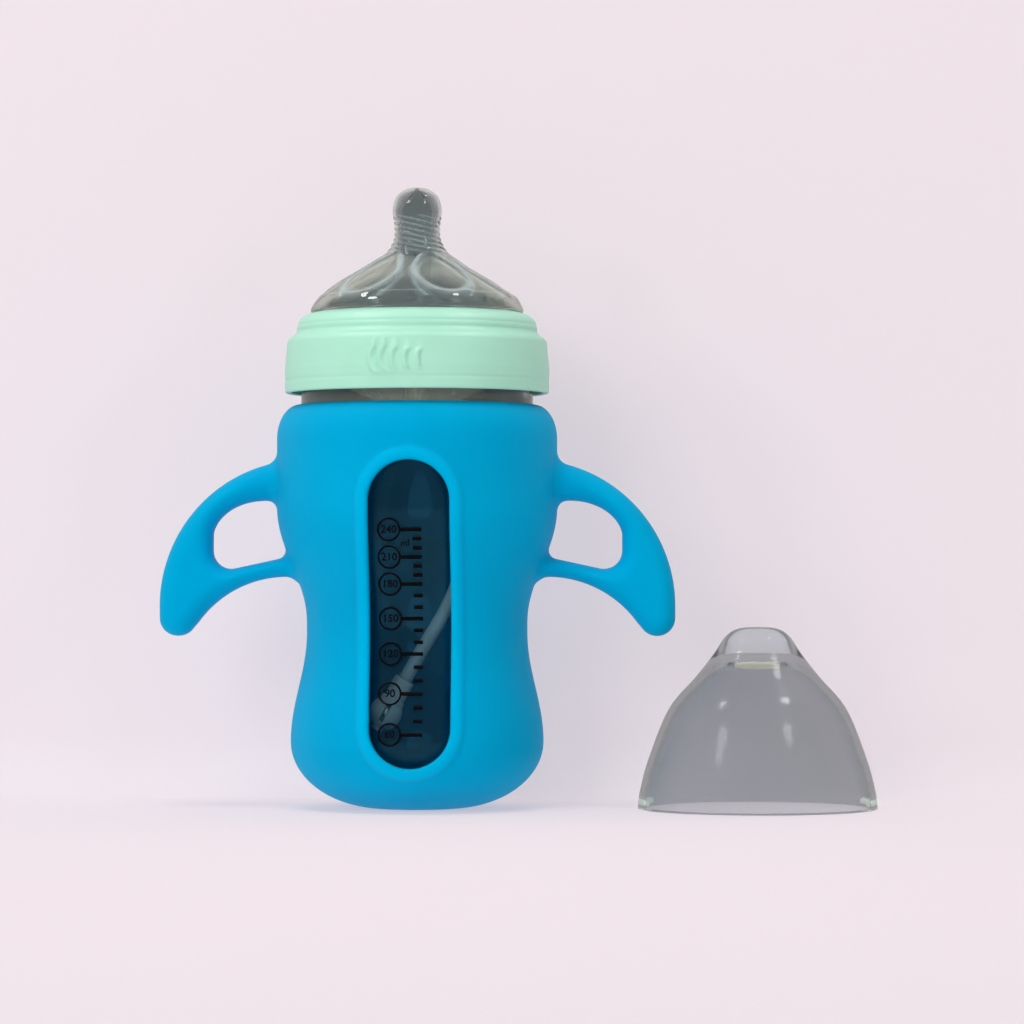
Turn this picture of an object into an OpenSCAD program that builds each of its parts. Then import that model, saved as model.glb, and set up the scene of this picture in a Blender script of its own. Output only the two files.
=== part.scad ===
// Wide-neck baby bottle in a two-handled silicone sleeve, with a screw collar, a soft teat,
// a weighted drinking straw and a clear snap-on cap that stands beside it.
// Millimetres. +Z is up. The origin is the centre of the flat that the sleeve stands on.
// The scale window faces -Y, and the two handles point along +X and -X.

/* [Sleeve] */
// Radius of the flat that the bottle stands on
foot_r = 10; // [8:0.5:14]
// Outer radius of the base
base_r = 36; // [35:0.25:37]
// Height at which the rounded base corner ends
base_z = 19; // [17:0.5:21]
// Outer radius of the waist
waist_r = 31.4; // [31:0.1:32]
// Height at which the taper from the base reaches the waist
waist_z = 50; // [48:0.5:52]
// Height at which the body starts to swell again
swell_z = 53; // [52:0.5:55]
// Outer radius of the shoulder
shoulder_r = 39.9; // [39.5:0.1:40.5]
// Height at which the swell reaches the shoulder
shoulder_z = 85.5; // [84:0.5:88]
// Height at which the shoulder starts to round over to the neck
crown_z = 105; // [104:0.5:106]
// Height of the sleeve's top edge
sleeve_h = 114.7; // [114.2:0.1:115]
// Thickness of the silicone
sleeve_wall = 2.6; // [2.2:0.1:2.8]

/* [Window] */
// Clear width of the window over the printed scale
window_w = 22.6; // [20:0.2:24]
// Lowest point of the window
window_lo = 12.6; // [10:0.2:14]
// Highest point of the window
window_hi = 98.2; // [96:0.1:99]
// Width of the raised rim round the window
rim_w = 3.7; // [3:0.1:4.5]
// How far the rim stands proud of the sleeve
rim_rise = 0.9; // [0.5:0.1:1.2]

/* [Handles] */
// Thickness of a handle, front to back
handle_t = 13; // [11:0.5:14]
// Reach of a handle from the bottle's axis
handle_reach = 73.5; // [72:0.5:75]
// Height of the top of the handle's outer curve
handle_top = 99.2; // [98:0.2:101]

/* [Bottle] */
// Gap between the silicone and the glass
sleeve_gap = 0.1; // [0.1:0.05:0.2]
// Thickness of the bottle's wall
glass = 2.2; // [2:0.1:2.4]
// Outer radius of the neck under the thread
neck_r = 33; // [32.8:0.1:33.1]
// Inner radius of the neck
neck_bore_r = 30.2; // [29.8:0.1:30.4]
// Height of the bottle's lip
lip_z = 133.9; // [133.7:0.1:134]

/* [Thread] */
// Rise of the thread in one turn
pitch = 6; // [5.5:0.25:6]
// How far a thread ridge stands out of its wall
ridge_h = 1.8; // [1.6:0.1:1.9]
// Width of a ridge where it meets its wall
ridge_root = 3.2; // [2.8:0.1:3.4]
// Width of a ridge along its crest
ridge_crest = 1.4; // [1:0.1:1.6]

/* [Teat and adapter] */
// Height of the teat's tip
teat_top = 176.6; // [176:0.1:177]
// Radius of the hole in the teat's tip
flow_r = 0.5; // [0.3:0.1:0.8]
// Radius of the adapter's disc, clamped on the bottle's lip
disc_r = 31.6; // [31:0.1:31.7]
// Outer radius of the adapter's hub, which holds the straw
hub_r = 4; // [3.6:0.1:4.5]

/* [Straw] */
// Outer diameter of the straw
straw_d = 4; // [3.6:0.1:4]
// Radius of the weight's round end
weight_r = 4.8; // [4.5:0.1:5]
// Radius of the steel ball inside the weight
ball_r = 3; // [2.5:0.1:3.2]

/* [Cap] */
// Distance from the bottle's axis to the cap's axis
cap_x = 96.8; // [95:0.1:110]
// Radius of the soft pad that closes the teat when the cap is on
pad_r = 6.5; // [5:0.1:7]
// Sweep of each snap rib inside the rim, in degrees
rib_sweep = 35; // [20:1:45]

/* [Hidden] */
$fn = 96;

// The sleeve's inside, the bottle's outside and the bottle's inside, as depths below the sleeve's face
bottle_depth = sleeve_wall + sleeve_gap;
bore_depth = bottle_depth + glass;
// Radius that the sleeve's top edge closes to
sleeve_neck_r = neck_r + sleeve_gap;
// Height at which the bottle's thread starts; the collar's runs halfway between its turns
thread_z = 122;

// Collar: the pieces under it stand on the lip with these clearances between them
collar_z = 118;
collar_top = 140.8;
collar_r = 37.6;
collar_bore_r = 35.6;
collar_mouth_r = 29.4;
lip_r = 31.7;
lip_bore_r = 29.2;
running_gap = 0.3;
disc_t = 1;
flange_t = 2;
flange_r = 31.8;
disc_z = lip_z + running_gap;
flange_z = disc_z + disc_t + 0.1;
ceiling_z = flange_z + flange_t + running_gap;

// Straw: its route from the adapter's hub to the weight, hanging down inside the bottle
hub_z = 126;
route = [
    [0, 0, 125.5], [0.2, 0, 121.5], [1.4, 0, 116], [3.6, 0, 110], [6.4, 0, 103.5], [9.2, 0, 97],
    [11.7, 0, 90], [13.4, 0, 83], [13.9, 0, 76], [13, 0, 69.5], [11.2, 0, 63.5], [8.6, 0, 57.5],
    [5.6, 0, 52], [2.5, 0, 46.9], [-0.5, 0, 41.7], [-3.5, 0, 36.5]
];
straw_sides = 10;
straw_end = route[len(route) - 1];
weight_tilt = 30;

// ---------- outlines ----------

// Points along part of an ellipse, from angle a0 to angle a1
function arc(centre, rx, rz, a0, a1, steps) =
    [for (i = [0:steps]) let (a = a0 + (a1 - a0) * i / steps) centre + [rx * cos(a), rz * sin(a)]];

// A soft S from radius r0 at height z0 to radius r1 at height z1
function ease(r0, r1, z0, z1, steps) =
    [for (i = [1:steps]) [r0 + (r1 - r0) * (1 - cos(180 * i / steps)) / 2, z0 + (z1 - z0) * i / steps]];

// A smooth curve through a few points
function through(p0, p1, p2, p3, t) =
    0.5 * (2 * p1 + (p2 - p0) * t + (2 * p0 - 5 * p1 + 4 * p2 - p3) * t * t
    + (3 * p1 - p0 - 3 * p2 + p3) * t * t * t);
function smooth(p, steps) = concat(
    [for (i = [0:len(p) - 2], k = [0:steps - 1])
        through(p[max(i - 1, 0)], p[i], p[i + 1], p[min(i + 2, len(p) - 1)], k / steps)],
    [p[len(p) - 1]]
);

// The hourglass outline at a depth below the sleeve's face, closing to radius throat_r at the top
function body_outline(depth, throat_r) = concat(
    arc([foot_r, base_z], base_r - foot_r - depth, base_z - depth, -90, 0, 10),
    ease(base_r - depth, waist_r - depth, base_z, waist_z, 7),
    ease(waist_r - depth, shoulder_r - depth, swell_z, shoulder_z, 9),
    arc([throat_r, crown_z], shoulder_r - depth - throat_r, sleeve_h - crown_z - depth, 0, 90, 8)
);

// ---------- sleeve ----------

module window_slot(margin) {
    half_w = window_w / 2 + margin;
    rotate([90, 0, 0])
        linear_extrude(60)
            union() {
                translate([0, window_lo + window_w / 2]) circle(half_w);
                translate([0, window_hi - window_w / 2]) circle(half_w);
                translate([-half_w, window_lo + window_w / 2])
                    square([2 * half_w, window_hi - window_lo - window_w]);
            }
}

// Side view of one handle: a big outer curve, a round tail tip and a hollow underside
function handle_outline() = let (
    centre = [32, 57.5],
    tip = [handle_reach - 5.2, 54.2]
) concat(
    arc(centre, handle_reach - centre[0], handle_top - centre[1], 95, 0, 18),
    arc(tip, 5.2, 5.2, -5, -146, 8),
    arc([37.3, 34.5], 31.3, 31.3, 36, 95, 10)
);

// The finger gap: a round-nosed opening between the handle and the body
function finger_gap() = concat(
    [[33, 87.5]],
    arc([43.5, 76.3], 15.1, 11.2, 90, 10, 10),
    arc([53.2, 73.3], 5.2, 5.2, 0, -100, 7),
    [[33, 73.2]]
);

// Three nested slabs step the edges back, so that the grip is rounded front and back
module handle() {
    rotate([90, 0, 0])
        for (slab = [[1, 1.8], [0.8, 0.6], [0.55, 0]])
            linear_extrude(handle_t * slab[0], center = true)
                difference() {
                    offset(delta = -slab[1]) polygon(handle_outline());
                    offset(delta = slab[1]) polygon(finger_gap());
                }
}

module sleeve() {
    outline = body_outline(0, sleeve_neck_r + 0.3);
    color("deepskyblue")
        difference() {
            union() {
                rotate_extrude() polygon(concat([[0, 0]], outline, [[0, sleeve_h]]));
                intersection() {
                    rotate_extrude()
                        polygon(concat([[0, 0]], body_outline(-rim_rise, sleeve_neck_r), [[0, sleeve_h]]));
                    window_slot(rim_w);
                }
                handle();
                mirror([1, 0, 0]) handle();
            }
            rotate_extrude()
                polygon(concat(
                    [[0, sleeve_wall]],
                    body_outline(sleeve_wall, sleeve_neck_r),
                    [[sleeve_neck_r, sleeve_h + 1], [0, sleeve_h + 1]]
                ));
            window_slot(0);
        }
}

// ---------- thread ----------

// A helical ridge: rings of four corners, from the wall at root_r to the crest at crest_r.
// The root is sunk into the wall so that the two fuse.
module thread_ridge(root_r, crest_r, start_z, start_a, turns) {
    sink = root_r < crest_r ? -0.4 : 0.4;
    steps = round(turns * 30);
    corners = [
        [root_r + sink, -ridge_root / 2], [crest_r, -ridge_crest / 2],
        [crest_r, ridge_crest / 2], [root_r + sink, ridge_root / 2]
    ];
    points = [
        for (i = [0:steps], c = corners)
            let (a = start_a + 360 * turns * i / steps)
                [c[0] * cos(a), c[0] * sin(a), start_z + pitch * turns * i / steps + c[1]]
    ];
    sides = [
        for (i = [0:steps - 1], k = [0:3])
            let (a = 4 * i + k, b = 4 * i + (k + 1) % 4)
                each [[a, b, b + 4], [a, b + 4, a + 4]]
    ];
    last = 4 * steps;
    ends = [[0, 2, 1], [0, 3, 2], [last, last + 1, last + 2], [last, last + 2, last + 3]];
    faces = concat(sides, ends);
    polyhedron(points, root_r > crest_r ? [for (f = faces) [f[2], f[1], f[0]]] : faces);
}

// ---------- bottle ----------

module bottle() {
    outside = concat(
        [[0, bottle_depth]],
        body_outline(bottle_depth, neck_r),
        [[neck_r, lip_z - 3.3], [lip_r, lip_z - 2]],
        arc([lip_r - 1, lip_z - 1], 1, 1, 0, 90, 4),
        arc([lip_bore_r + 1, lip_z - 1], 1, 1, 90, 180, 4),
        [[lip_bore_r, lip_z - 2.4], [neck_bore_r, lip_z - 4]]
    );
    inside = body_outline(bore_depth, neck_bore_r);
    back_down = [for (i = [len(inside) - 1:-1:0]) inside[i]];
    color([0.8, 0.9, 0.92, 0.35])
        union() {
            rotate_extrude() polygon(concat(outside, back_down, [[0, bore_depth]]));
            thread_ridge(neck_r, neck_r + ridge_h, thread_z, 0, 1.25);
        }
}

// ---------- collar ----------

module collar() {
    color("aquamarine")
        union() {
            rotate_extrude()
                polygon(concat(
                    [[collar_bore_r, collar_z + 0.5], [36.1, collar_z], [37, collar_z]],
                    [[collar_r, collar_z + 0.6], [collar_r, 124.5], [37.2, 129.5]],
                    arc([34.8, 131.8], 2.2, 2.3, 5, 80, 5),
                    arc([29.6, 136.4], 4.6, 4.2, -12, 80, 9),
                    [[29.8, collar_top], [collar_mouth_r, collar_top - 0.4]],
                    [[collar_mouth_r, ceiling_z], [flange_r + 0.4, ceiling_z]],
                    [[flange_r + 0.4, 133.2], [collar_bore_r - 0.4, 131.6], [collar_bore_r, 131.2]]
                ));
            thread_ridge(collar_bore_r, collar_bore_r - ridge_h, thread_z - pitch / 6, 120, 1.2);
        }
}

// ---------- teat ----------

module teat() {
    groove_r = collar_mouth_r - 0.5;
    skin_z = collar_top + 0.4;
    dome = smooth([
        [30.2, skin_z], [28.4, 144.4], [22.7, 149.1], [14.9, 153.8], [9.2, 157.6],
        [6.7, 161.8], [6.4, 165.5], [7, 170.2], [5.9, 174.1], [3.3, 176.2], [0, teat_top]
    ], 4);
    hollow = smooth([
        [27.2, flange_z], [27.2, 140.6], [25.4, 143.8], [20.4, 148], [12.9, 152.4], [7.3, 156.4],
        [4.7, 161.2], [4.3, 166], [4.7, 170.2], [3.4, 173.3], [0, 174.6]
    ], 4);
    color([0.85, 0.88, 0.84, 0.4])
        difference() {
            rotate_extrude()
                polygon(concat(
                    [[0, flange_z], [flange_r, flange_z], [flange_r, flange_z + flange_t]],
                    [[groove_r, flange_z + flange_t], [groove_r, skin_z - 0.1]],
                    dome
                ));
            rotate_extrude() polygon(concat([[0, flange_z - 1], [27.2, flange_z - 1]], hollow));
            translate([0, 0, teat_top - 5]) cylinder(h = 10, r = flow_r);
        }
}

module straw_adapter() {
    socket_r = straw_d / 2 + 0.4;
    channel_r = 1.2;
    color([0.9, 0.95, 0.95, 0.6])
        difference() {
            union() {
                translate([0, 0, disc_z]) cylinder(h = disc_t, r = disc_r);
                translate([0, 0, hub_z]) cylinder(h = disc_z + 2.5 - hub_z, r = hub_r);
            }
            translate([0, 0, hub_z - 1]) cylinder(h = 6, r = socket_r);
            translate([0, 0, hub_z - 1]) cylinder(h = 20, r = channel_r);
        }
}

// ---------- straw and weight ----------

// Rings square to the route, each leaning halfway between its two neighbouring stretches
module straw() {
    last = len(route) - 1;
    function lean(i) = route[min(i + 1, last)] - route[max(i - 1, 0)];
    function ring(i) = let (
        along = lean(i) / norm(lean(i)),
        across = [along[2], 0, -along[0]]
    ) [for (k = [0:straw_sides - 1]) let (a = 360 * k / straw_sides)
        route[i] + straw_d / 2 * (cos(a) * across + sin(a) * [0, 1, 0])];
    points = [for (i = [0:last], p = ring(i)) p];
    sides = [
        for (i = [0:last - 1], k = [0:straw_sides - 1])
            let (a = straw_sides * i + k, b = straw_sides * i + (k + 1) % straw_sides)
                each [[a, b, b + straw_sides], [a, b + straw_sides, a + straw_sides]]
    ];
    top_face = [for (k = [straw_sides - 1:-1:0]) k];
    end_face = [for (k = [0:straw_sides - 1]) straw_sides * last + k];
    color([0.9, 0.95, 1, 0.5])
        polyhedron(points, concat(sides, [top_face, end_face]));
}

// Places a piece below the straw's end, in line with it, with the end at the piece's origin
module at_straw_end() {
    translate(straw_end) rotate([0, weight_tilt, 0]) children();
}

// Holder for the straw's end, a short neck and a round end with inlet slots over the ball
module straw_weight() {
    ball_z = -11;
    color("whitesmoke")
        at_straw_end()
            difference() {
                union() {
                    translate([0, 0, -6]) cylinder(h = 6, r = 3.1);
                    translate([0, 0, -8]) cylinder(h = 2.2, r1 = 3.4, r2 = 3.1);
                    translate([0, 0, ball_z]) sphere(r = weight_r);
                    translate([0, 0, ball_z - weight_r - 0.8]) cylinder(h = 2, r = 1.8);
                }
                translate([0, 0, ball_z]) sphere(r = ball_r + 0.2);
                translate([0, 0, ball_z]) cylinder(h = 12, r = 1.2);
                translate([0, 0, ball_z - 8]) cylinder(h = 8, r = 0.8);
            }
}

module weight_ball() {
    color("silver")
        at_straw_end() translate([0, 0, -11]) sphere(r = ball_r);
}

// ---------- cap ----------

module cap() {
    pad_z = 41.2;
    bell = smooth([
        [34, 0], [33.4, 5], [31, 14], [25.2, 28.3], [17.4, 37.6],
        [12.4, 44], [9, 49], [5.3, 51.2], [0, 51.6]
    ], 4);
    hollow = smooth([
        [32.4, 0], [31.8, 5], [29.4, 13.6], [23.7, 27.4], [15.9, 36.4], [10.8, 40.6], [7.4, 42], [0, 42]
    ], 4);
    color([0.85, 0.9, 0.95, 0.35])
        translate([cap_x, 0, 0])
            union() {
                difference() {
                    rotate_extrude() polygon(concat([[0, 0]], bell));
                    rotate_extrude() polygon(concat([[0, -1], [32.4, -1]], hollow));
                }
                translate([0, 0, pad_z]) cylinder(h = 3, r = pad_r);
                for (side = [0, 180])
                    rotate([0, 0, side - rib_sweep / 2])
                        rotate_extrude(angle = rib_sweep) translate([32.3, 1.8]) circle(0.8);
            }
}

sleeve();
bottle();
collar();
teat();
straw_adapter();
straw();
straw_weight();
weight_ball();
cap();
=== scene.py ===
"""A wide-neck baby bottle in a blue two-handled sleeve, with its clear cap beside it.

Sizes in this script are millimetres in the part's own frame, and MM turns them into metres.
"""

import math

import bpy
import numpy as np
from mathutils import Matrix, Vector


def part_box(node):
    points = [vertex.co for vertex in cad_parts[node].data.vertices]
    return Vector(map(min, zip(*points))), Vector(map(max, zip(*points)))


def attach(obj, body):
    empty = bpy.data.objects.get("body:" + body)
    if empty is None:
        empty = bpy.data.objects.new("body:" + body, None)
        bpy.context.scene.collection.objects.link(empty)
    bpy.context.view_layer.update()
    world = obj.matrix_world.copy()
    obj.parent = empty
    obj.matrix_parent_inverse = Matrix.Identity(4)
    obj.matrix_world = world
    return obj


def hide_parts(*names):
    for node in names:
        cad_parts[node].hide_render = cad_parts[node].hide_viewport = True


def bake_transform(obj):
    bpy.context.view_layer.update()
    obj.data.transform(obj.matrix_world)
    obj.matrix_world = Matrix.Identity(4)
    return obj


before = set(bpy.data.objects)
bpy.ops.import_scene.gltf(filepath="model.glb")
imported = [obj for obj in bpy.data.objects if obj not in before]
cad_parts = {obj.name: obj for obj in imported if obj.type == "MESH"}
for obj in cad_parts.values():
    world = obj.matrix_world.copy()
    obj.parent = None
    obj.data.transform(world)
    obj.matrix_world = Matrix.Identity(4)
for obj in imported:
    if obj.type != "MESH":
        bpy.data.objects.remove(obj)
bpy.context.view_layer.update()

MM = 0.001


def node_box(node):
    """A CAD node's lowest and highest corner in millimetres."""
    lo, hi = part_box(node)
    return np.array(lo) / MM, np.array(hi) / MM


# ---------- 1. Camera ----------

CAMERA_DISTANCE = 1150
CAMERA_HEIGHT = 66
CAMERA_X = 27
CAMERA_TURN = 2.4  # degrees round the bottle, to the right
SENSOR_MM = 36
VIEW_WIDTH = 291.8  # what the picture takes in, at the bottle's axis
VIEW_CENTRE_Z = 84.3
CLIP_END = 20  # metres


def make_camera():
    data = bpy.data.cameras.new("camera")
    data.sensor_width = SENSOR_MM
    data.lens = SENSOR_MM * CAMERA_DISTANCE / VIEW_WIDTH
    data.shift_y = (VIEW_CENTRE_Z - CAMERA_HEIGHT) / VIEW_WIDTH
    data.clip_end = CLIP_END
    camera = bpy.data.objects.new("camera", data)
    turn = Matrix.Rotation(math.radians(CAMERA_TURN), 3, "Z")
    camera.location = turn @ Vector((CAMERA_X, -CAMERA_DISTANCE, CAMERA_HEIGHT)) * MM
    camera.rotation_euler = [math.radians(a) for a in (90, 0, CAMERA_TURN)]
    bpy.context.scene.collection.objects.link(camera)
    bpy.context.scene.camera = camera


make_camera()


# ---------- 2. Outlines: lists of (radius, height) ----------


def arc(centre, rx, rz, a0, a1, steps=24):
    """Points along part of an ellipse, from angle a0 to angle a1 in degrees."""
    a = np.radians(np.linspace(a0, a1, steps + 1))
    return np.stack([centre[0] + rx * np.cos(a), centre[1] + rz * np.sin(a)], 1)


def ease(r0, r1, z0, z1, steps=32):
    """A soft S from radius r0 at height z0 to radius r1 at height z1."""
    t = np.linspace(0, 1, steps + 1)[1:]
    return np.stack([r0 + (r1 - r0) * (1 - np.cos(np.pi * t)) / 2, z0 + (z1 - z0) * t], 1)


def smooth(points, steps=10):
    """A smooth curve through a few points of any dimension."""
    p = np.array(points, float)
    ends = np.vstack([p[:1], p, p[-1:]])
    t = np.linspace(0, 1, steps, endpoint=False)[:, None]
    out = []
    for a, b, c, d in zip(ends, ends[1:], ends[2:], ends[3:]):
        turn = (2 * a - 5 * b + 4 * c - d) * t**2 + (3 * b - a - 3 * c + d) * t**3
        out.append(0.5 * (2 * b + (c - a) * t + turn))
    return np.vstack([*out, p[-1:]])


def dense(points, step):
    """The same line with extra points, so that no stretch of it is longer than step."""
    p = np.array(points, float)
    out = [p[:1]]
    for a, b in zip(p, p[1:]):
        count = max(1, math.ceil(np.linalg.norm(b - a) / step))
        out.append(a + (b - a) * np.linspace(0, 1, count + 1)[1:, None])
    return np.vstack(out)


# ---------- 3. Meshes ----------


def make_piece(name, points, faces, material, body, replaces=(), marks=None):
    """A smooth-shaded mesh piece from points in millimetres. marks is a mask for its material."""
    mesh = bpy.data.meshes.new(name)
    mesh.from_pydata((np.array(points) * MM).tolist(), [], faces)
    mesh.validate()
    mesh.shade_smooth()
    if marks is not None:
        mesh.attributes.new("mark", "FLOAT", "POINT").data.foreach_set("value", np.float32(marks))
    mesh.materials.append(material)
    piece = bpy.data.objects.new(name, mesh)
    bpy.context.scene.collection.objects.link(piece)
    if body:
        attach(piece, body)
    if replaces:
        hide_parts(*replaces)
    return piece


def revolve(outline, steps=256, shift=None):
    """Points and faces of a closed outline, or one that ends on the axis, turned about Z.

    The outline goes anticlockwise, with the radius to the right and the height up.
    shift(r, z, angle) gives the radius and height of each point, and so adds relief.
    """
    r, z = np.array(outline, float).T
    angle = np.linspace(0, 2 * np.pi, steps, endpoint=False)
    r, z, angle = [g.ravel() for g in np.broadcast_arrays(r[:, None], z[:, None], angle[None, :])]
    on_axis = r < 1e-6
    if shift:
        r, z = shift(r, z, angle)
    points = np.stack([r * np.cos(angle), r * np.sin(angle), z], 1)
    rows = len(outline)
    index = np.arange(rows * steps).reshape(rows, steps)
    on_axis = on_axis.reshape(rows, steps)
    index[on_axis] = np.repeat(index[:, :1], steps, 1)[on_axis]
    below, above = index, np.roll(index, -1, 0)
    if on_axis[0, 0] and on_axis[-1, 0]:
        below, above = index[:-1], index[1:]
    quads = np.stack([below, np.roll(below, -1, 1), np.roll(above, -1, 1), above], 2).reshape(-1, 4)
    faces = [list(dict.fromkeys(q)) for q in quads.tolist()]
    return points, [f for f in faces if len(f) > 2]


def drop_unused(points, faces):
    """The same mesh without the points that no face uses."""
    used = np.unique(np.concatenate([np.array(f) for f in faces]))
    new = {old: i for i, old in enumerate(used.tolist())}
    return points[used], [[new[i] for i in f] for f in faces]


# ---------- 4. Solids from distances, for shapes that flow into each other ----------

SKIN_PASSES = 3  # times that skin() pulls its points onto the surface
SLOPE_STEP = 0.05
LEAST_SLOPE = 0.25  # squared, so that a flat spot in the distance doesn't throw a point away


class Map:
    """Signed distance to a closed outline, looked up on a fine grid. It is negative inside."""

    STEP = 0.25

    def __init__(self, outline, lo, hi):
        self.lo = np.array(lo, float)
        counts = [math.ceil((b - a) / self.STEP) + 1 for a, b in zip(lo, hi)]
        axes = [a + self.STEP * np.arange(n) for a, n in zip(lo, counts)]
        u, v = np.meshgrid(*axes, indexing="ij")
        nearest = np.full(u.shape, np.inf)
        inside = np.zeros(u.shape, bool)
        p = np.array(outline, float)
        for (u0, v0), (u1, v1) in zip(p, np.roll(p, -1, 0)):
            du, dv = u1 - u0, v1 - v0
            long = du * du + dv * dv
            if long < 1e-12:
                continue
            t = np.clip(((u - u0) * du + (v - v0) * dv) / long, 0, 1)
            nearest = np.minimum(nearest, np.hypot(u - u0 - t * du, v - v0 - t * dv))
            if dv:
                inside ^= ((v0 > v) != (v1 > v)) & (u < u0 + (v - v0) * du / dv)
        self.values = np.where(inside, -nearest, nearest)

    def at(self, u, v):
        place = [(u - self.lo[0]) / self.STEP, (v - self.lo[1]) / self.STEP]
        cell, part = [], []
        for value, count in zip(place, self.values.shape):
            value = np.clip(value, 0, count - 1.001)
            cell.append(value.astype(int))
            part.append(value - cell[-1])
        (i, j), (s, t), f = cell, part, self.values
        low = f[i, j] * (1 - s) + f[i + 1, j] * s
        high = f[i, j + 1] * (1 - s) + f[i + 1, j + 1] * s
        return low * (1 - t) + high * t


def join(a, b, fillet):
    """Two solids as one, with a round fillet of that radius where they meet."""
    near = np.hypot(np.maximum(fillet - a, 0), np.maximum(fillet - b, 0))
    return np.maximum(fillet, np.minimum(a, b)) - near


def cut(a, b, edge):
    """Solid a without solid b, with that radius on the edge of the cut."""
    near = np.hypot(np.maximum(edge + a, 0), np.maximum(edge - b, 0))
    return np.minimum(-edge, np.maximum(a, -b)) + near


def thick_plate(side, depth, half, edge):
    """A plate with round edges: side is the distance to its outline, and half is half its thickness."""
    a, b = side + edge, np.abs(depth) - half + edge
    return np.hypot(np.maximum(a, 0), np.maximum(b, 0)) + np.minimum(np.maximum(a, b), 0) - edge


def skin(distance, lo, hi, step):
    """Points and faces of the surface where distance(x, y, z) is zero, on a grid of that step."""
    axes = [np.arange(a, b + step, step) for a, b in zip(lo, hi)]
    field = distance(*np.meshgrid(*axes, indexing="ij"))
    inside = (field < 0).astype(np.int8)
    owners, crossings, quads = [], [], []
    for axis in range(3):
        side, up = (axis + 1) % 3, (axis + 2) % 3
        change = np.diff(inside, axis=axis)
        at = np.argwhere(change)
        at = at[(at[:, side] > 0) & (at[:, up] > 0)]
        end = at.copy()
        end[:, axis] += 1
        f0, f1 = field[tuple(at.T)], field[tuple(end.T)]
        crossing = at.astype(float)
        crossing[:, axis] += f0 / (f0 - f1)
        around = []
        for back_side, back_up in ((0, 0), (1, 0), (1, 1), (0, 1)):
            cell = at.copy()
            cell[:, side] -= back_side
            cell[:, up] -= back_up
            around.append(np.ravel_multi_index(tuple(cell.T), field.shape))
        around = np.stack(around, 1)
        entering = change[tuple(at.T)] > 0
        around[entering] = around[entering][:, ::-1]
        quads.append(around)
        owners.append(around.ravel())
        crossings.append(np.repeat(crossing, 4, 0))
    quads = np.concatenate(quads)
    cells, owner = np.unique(np.concatenate(owners), return_inverse=True)
    crossings = np.concatenate(crossings)
    counts = np.bincount(owner)
    points = np.stack([np.bincount(owner, crossings[:, k]) / counts for k in range(3)], 1)
    points = np.array(lo) + points * step
    for _ in range(SKIN_PASSES):
        points -= off_surface(distance, points, step)
    return points, np.searchsorted(cells, quads).tolist()


def off_surface(distance, points, step):
    """How far and which way each point is off the surface, at most half a step."""
    here = distance(*points.T)
    slope = np.zeros_like(points)
    for k in range(3):
        ahead, behind = points.copy(), points.copy()
        ahead[:, k] += SLOPE_STEP
        behind[:, k] -= SLOPE_STEP
        slope[:, k] = (distance(*ahead.T) - distance(*behind.T)) / (2 * SLOPE_STEP)
    size = np.maximum((slope**2).sum(1), LEAST_SLOPE)
    move = (here / size)[:, None] * slope
    return np.clip(move, -step / 2, step / 2)


# ---------- 5. Materials: sizes of patterns are in millimetres ----------

NOISE_LOW, NOISE_HIGH = 0.3, 0.7  # where most of a noise pattern's values lie


def srgb(red, green, blue):
    """A linear colour from 0-255 sRGB numbers."""
    def linear(c):
        c /= 255
        return c / 12.92 if c <= 0.04045 else ((c + 0.055) / 1.055) ** 2.4
    return (linear(red), linear(green), linear(blue), 1)


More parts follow.
